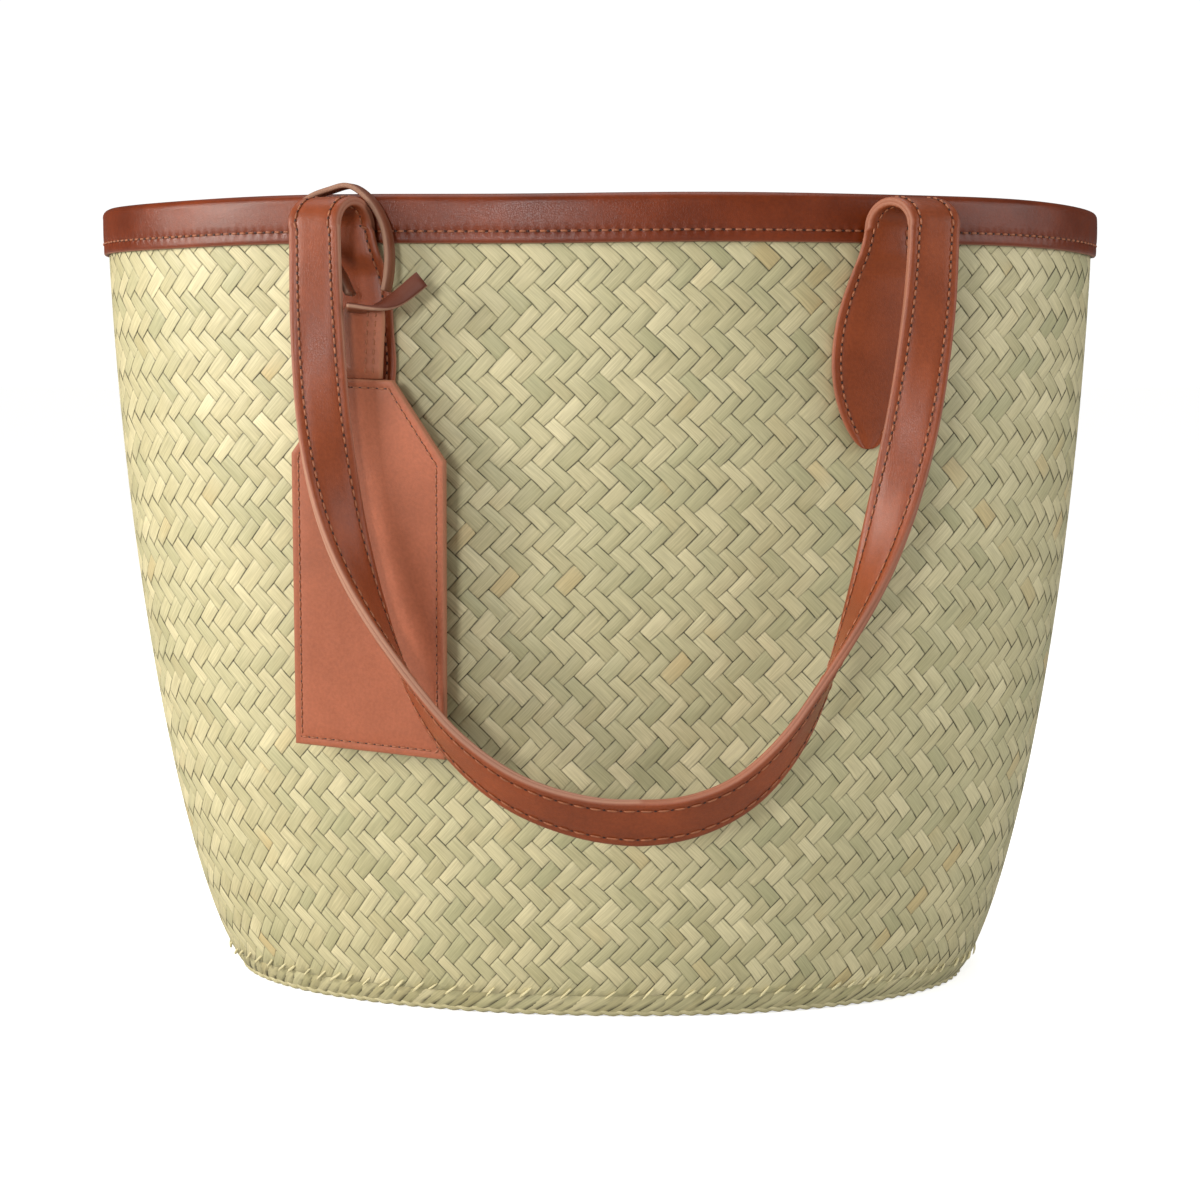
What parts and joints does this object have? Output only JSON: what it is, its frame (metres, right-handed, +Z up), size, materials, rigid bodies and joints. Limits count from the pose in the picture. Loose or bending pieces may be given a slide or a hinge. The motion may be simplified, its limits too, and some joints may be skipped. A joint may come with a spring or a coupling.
{
  "type": "beach bag",
  "caption": "Oval plaited palm-leaf beach bag with a leather-bound rim, long leather handles that hang or lift, and a hanging leather tag.",
  "frame": {"origin": "on the floor under the middle of the bag", "axes": "+Z up, +X to the right along the bag's length, -Y towards the front with the tag"},
  "size_m": [0.3852, 0.2642, 0.2997],
  "materials": {
    "palm": "plaited dried palm leaf, satin",
    "raffia": "raffia fibre, satin",
    "leather": "smooth saddle leather, semi-gloss",
    "lining": "smooth lining leather, satin",
    "thread": "waxed thread"
  },
  "bodies": {
    "basket": {"basket_wall": "palm", "base_border_braid": "palm", "basket_base": "palm", "base_lacing": "raffia", "rim_binding": "leather", "rim_binding_outer_thread": "thread", "rim_binding_inner_thread": "thread", "front_left_tab_lining": "lining", "front_left_tab": "leather", "front_left_tab_thread": "thread", "front_left_inner_patch": "leather", "front_left_fold": "leather", "front_right_tab_lining": "lining", "front_right_tab": "leather", "front_right_tab_thread": "thread", "front_right_inner_patch": "leather", "front_right_fold": "leather", "back_left_tab_lining": "lining", "back_left_tab": "leather", "back_left_tab_thread": "thread", "back_left_inner_patch": "leather", "back_left_fold": "leather", "back_right_tab_lining": "lining", "back_right_tab": "leather", "back_right_tab_thread": "thread", "back_right_inner_patch": "leather", "back_right_fold": "leather", "tag_lanyard": "leather", "tag_lanyard_tail": "leather"},
    "front_handle": {"front_strap_lining": "lining", "front_strap": "leather", "front_strap_inner_thread": "thread", "front_strap_outer_thread": "thread"},
    "back_handle": {"back_strap_lining": "lining", "back_strap": "leather", "back_strap_inner_thread": "thread", "back_strap_outer_thread": "thread"},
    "tag_hanger": {"tag_neck": "leather"},
    "tag": {"tag_front_panel": "leather", "tag_back_panel": "lining", "tag_thread": "thread"}
  },
  "joints": [
    {"name": "front_handle_lift", "type": "hinge", "parent": "basket", "child": "front_handle", "pos_m": [0.005, -0.1028, 0.294], "axis": [-1, 0, 0], "range_deg": [0, 170], "deforming": ["front_left_fold", "front_right_fold"]},
    {"name": "back_handle_lift", "type": "hinge", "parent": "basket", "child": "back_handle", "pos_m": [0.005, 0.1028, 0.294], "axis": [1, 0, 0], "range_deg": [0, 170], "deforming": ["back_left_fold", "back_right_fold"]},
    {"name": "tag_sway", "type": "hinge", "parent": "basket", "child": "tag_hanger", "pos_m": [-0.0815, -0.104, 0.2575], "axis": [-0.3746, -0.9272, 0], "range_deg": [-12, 10]},
    {"name": "tag_swing", "type": "hinge", "parent": "tag_hanger", "child": "tag", "pos_m": [-0.08029, -0.10284, 0.23256], "axis": [-0.9265, 0.3743, 0.0384], "range_deg": [0, 2]}
  ]
}
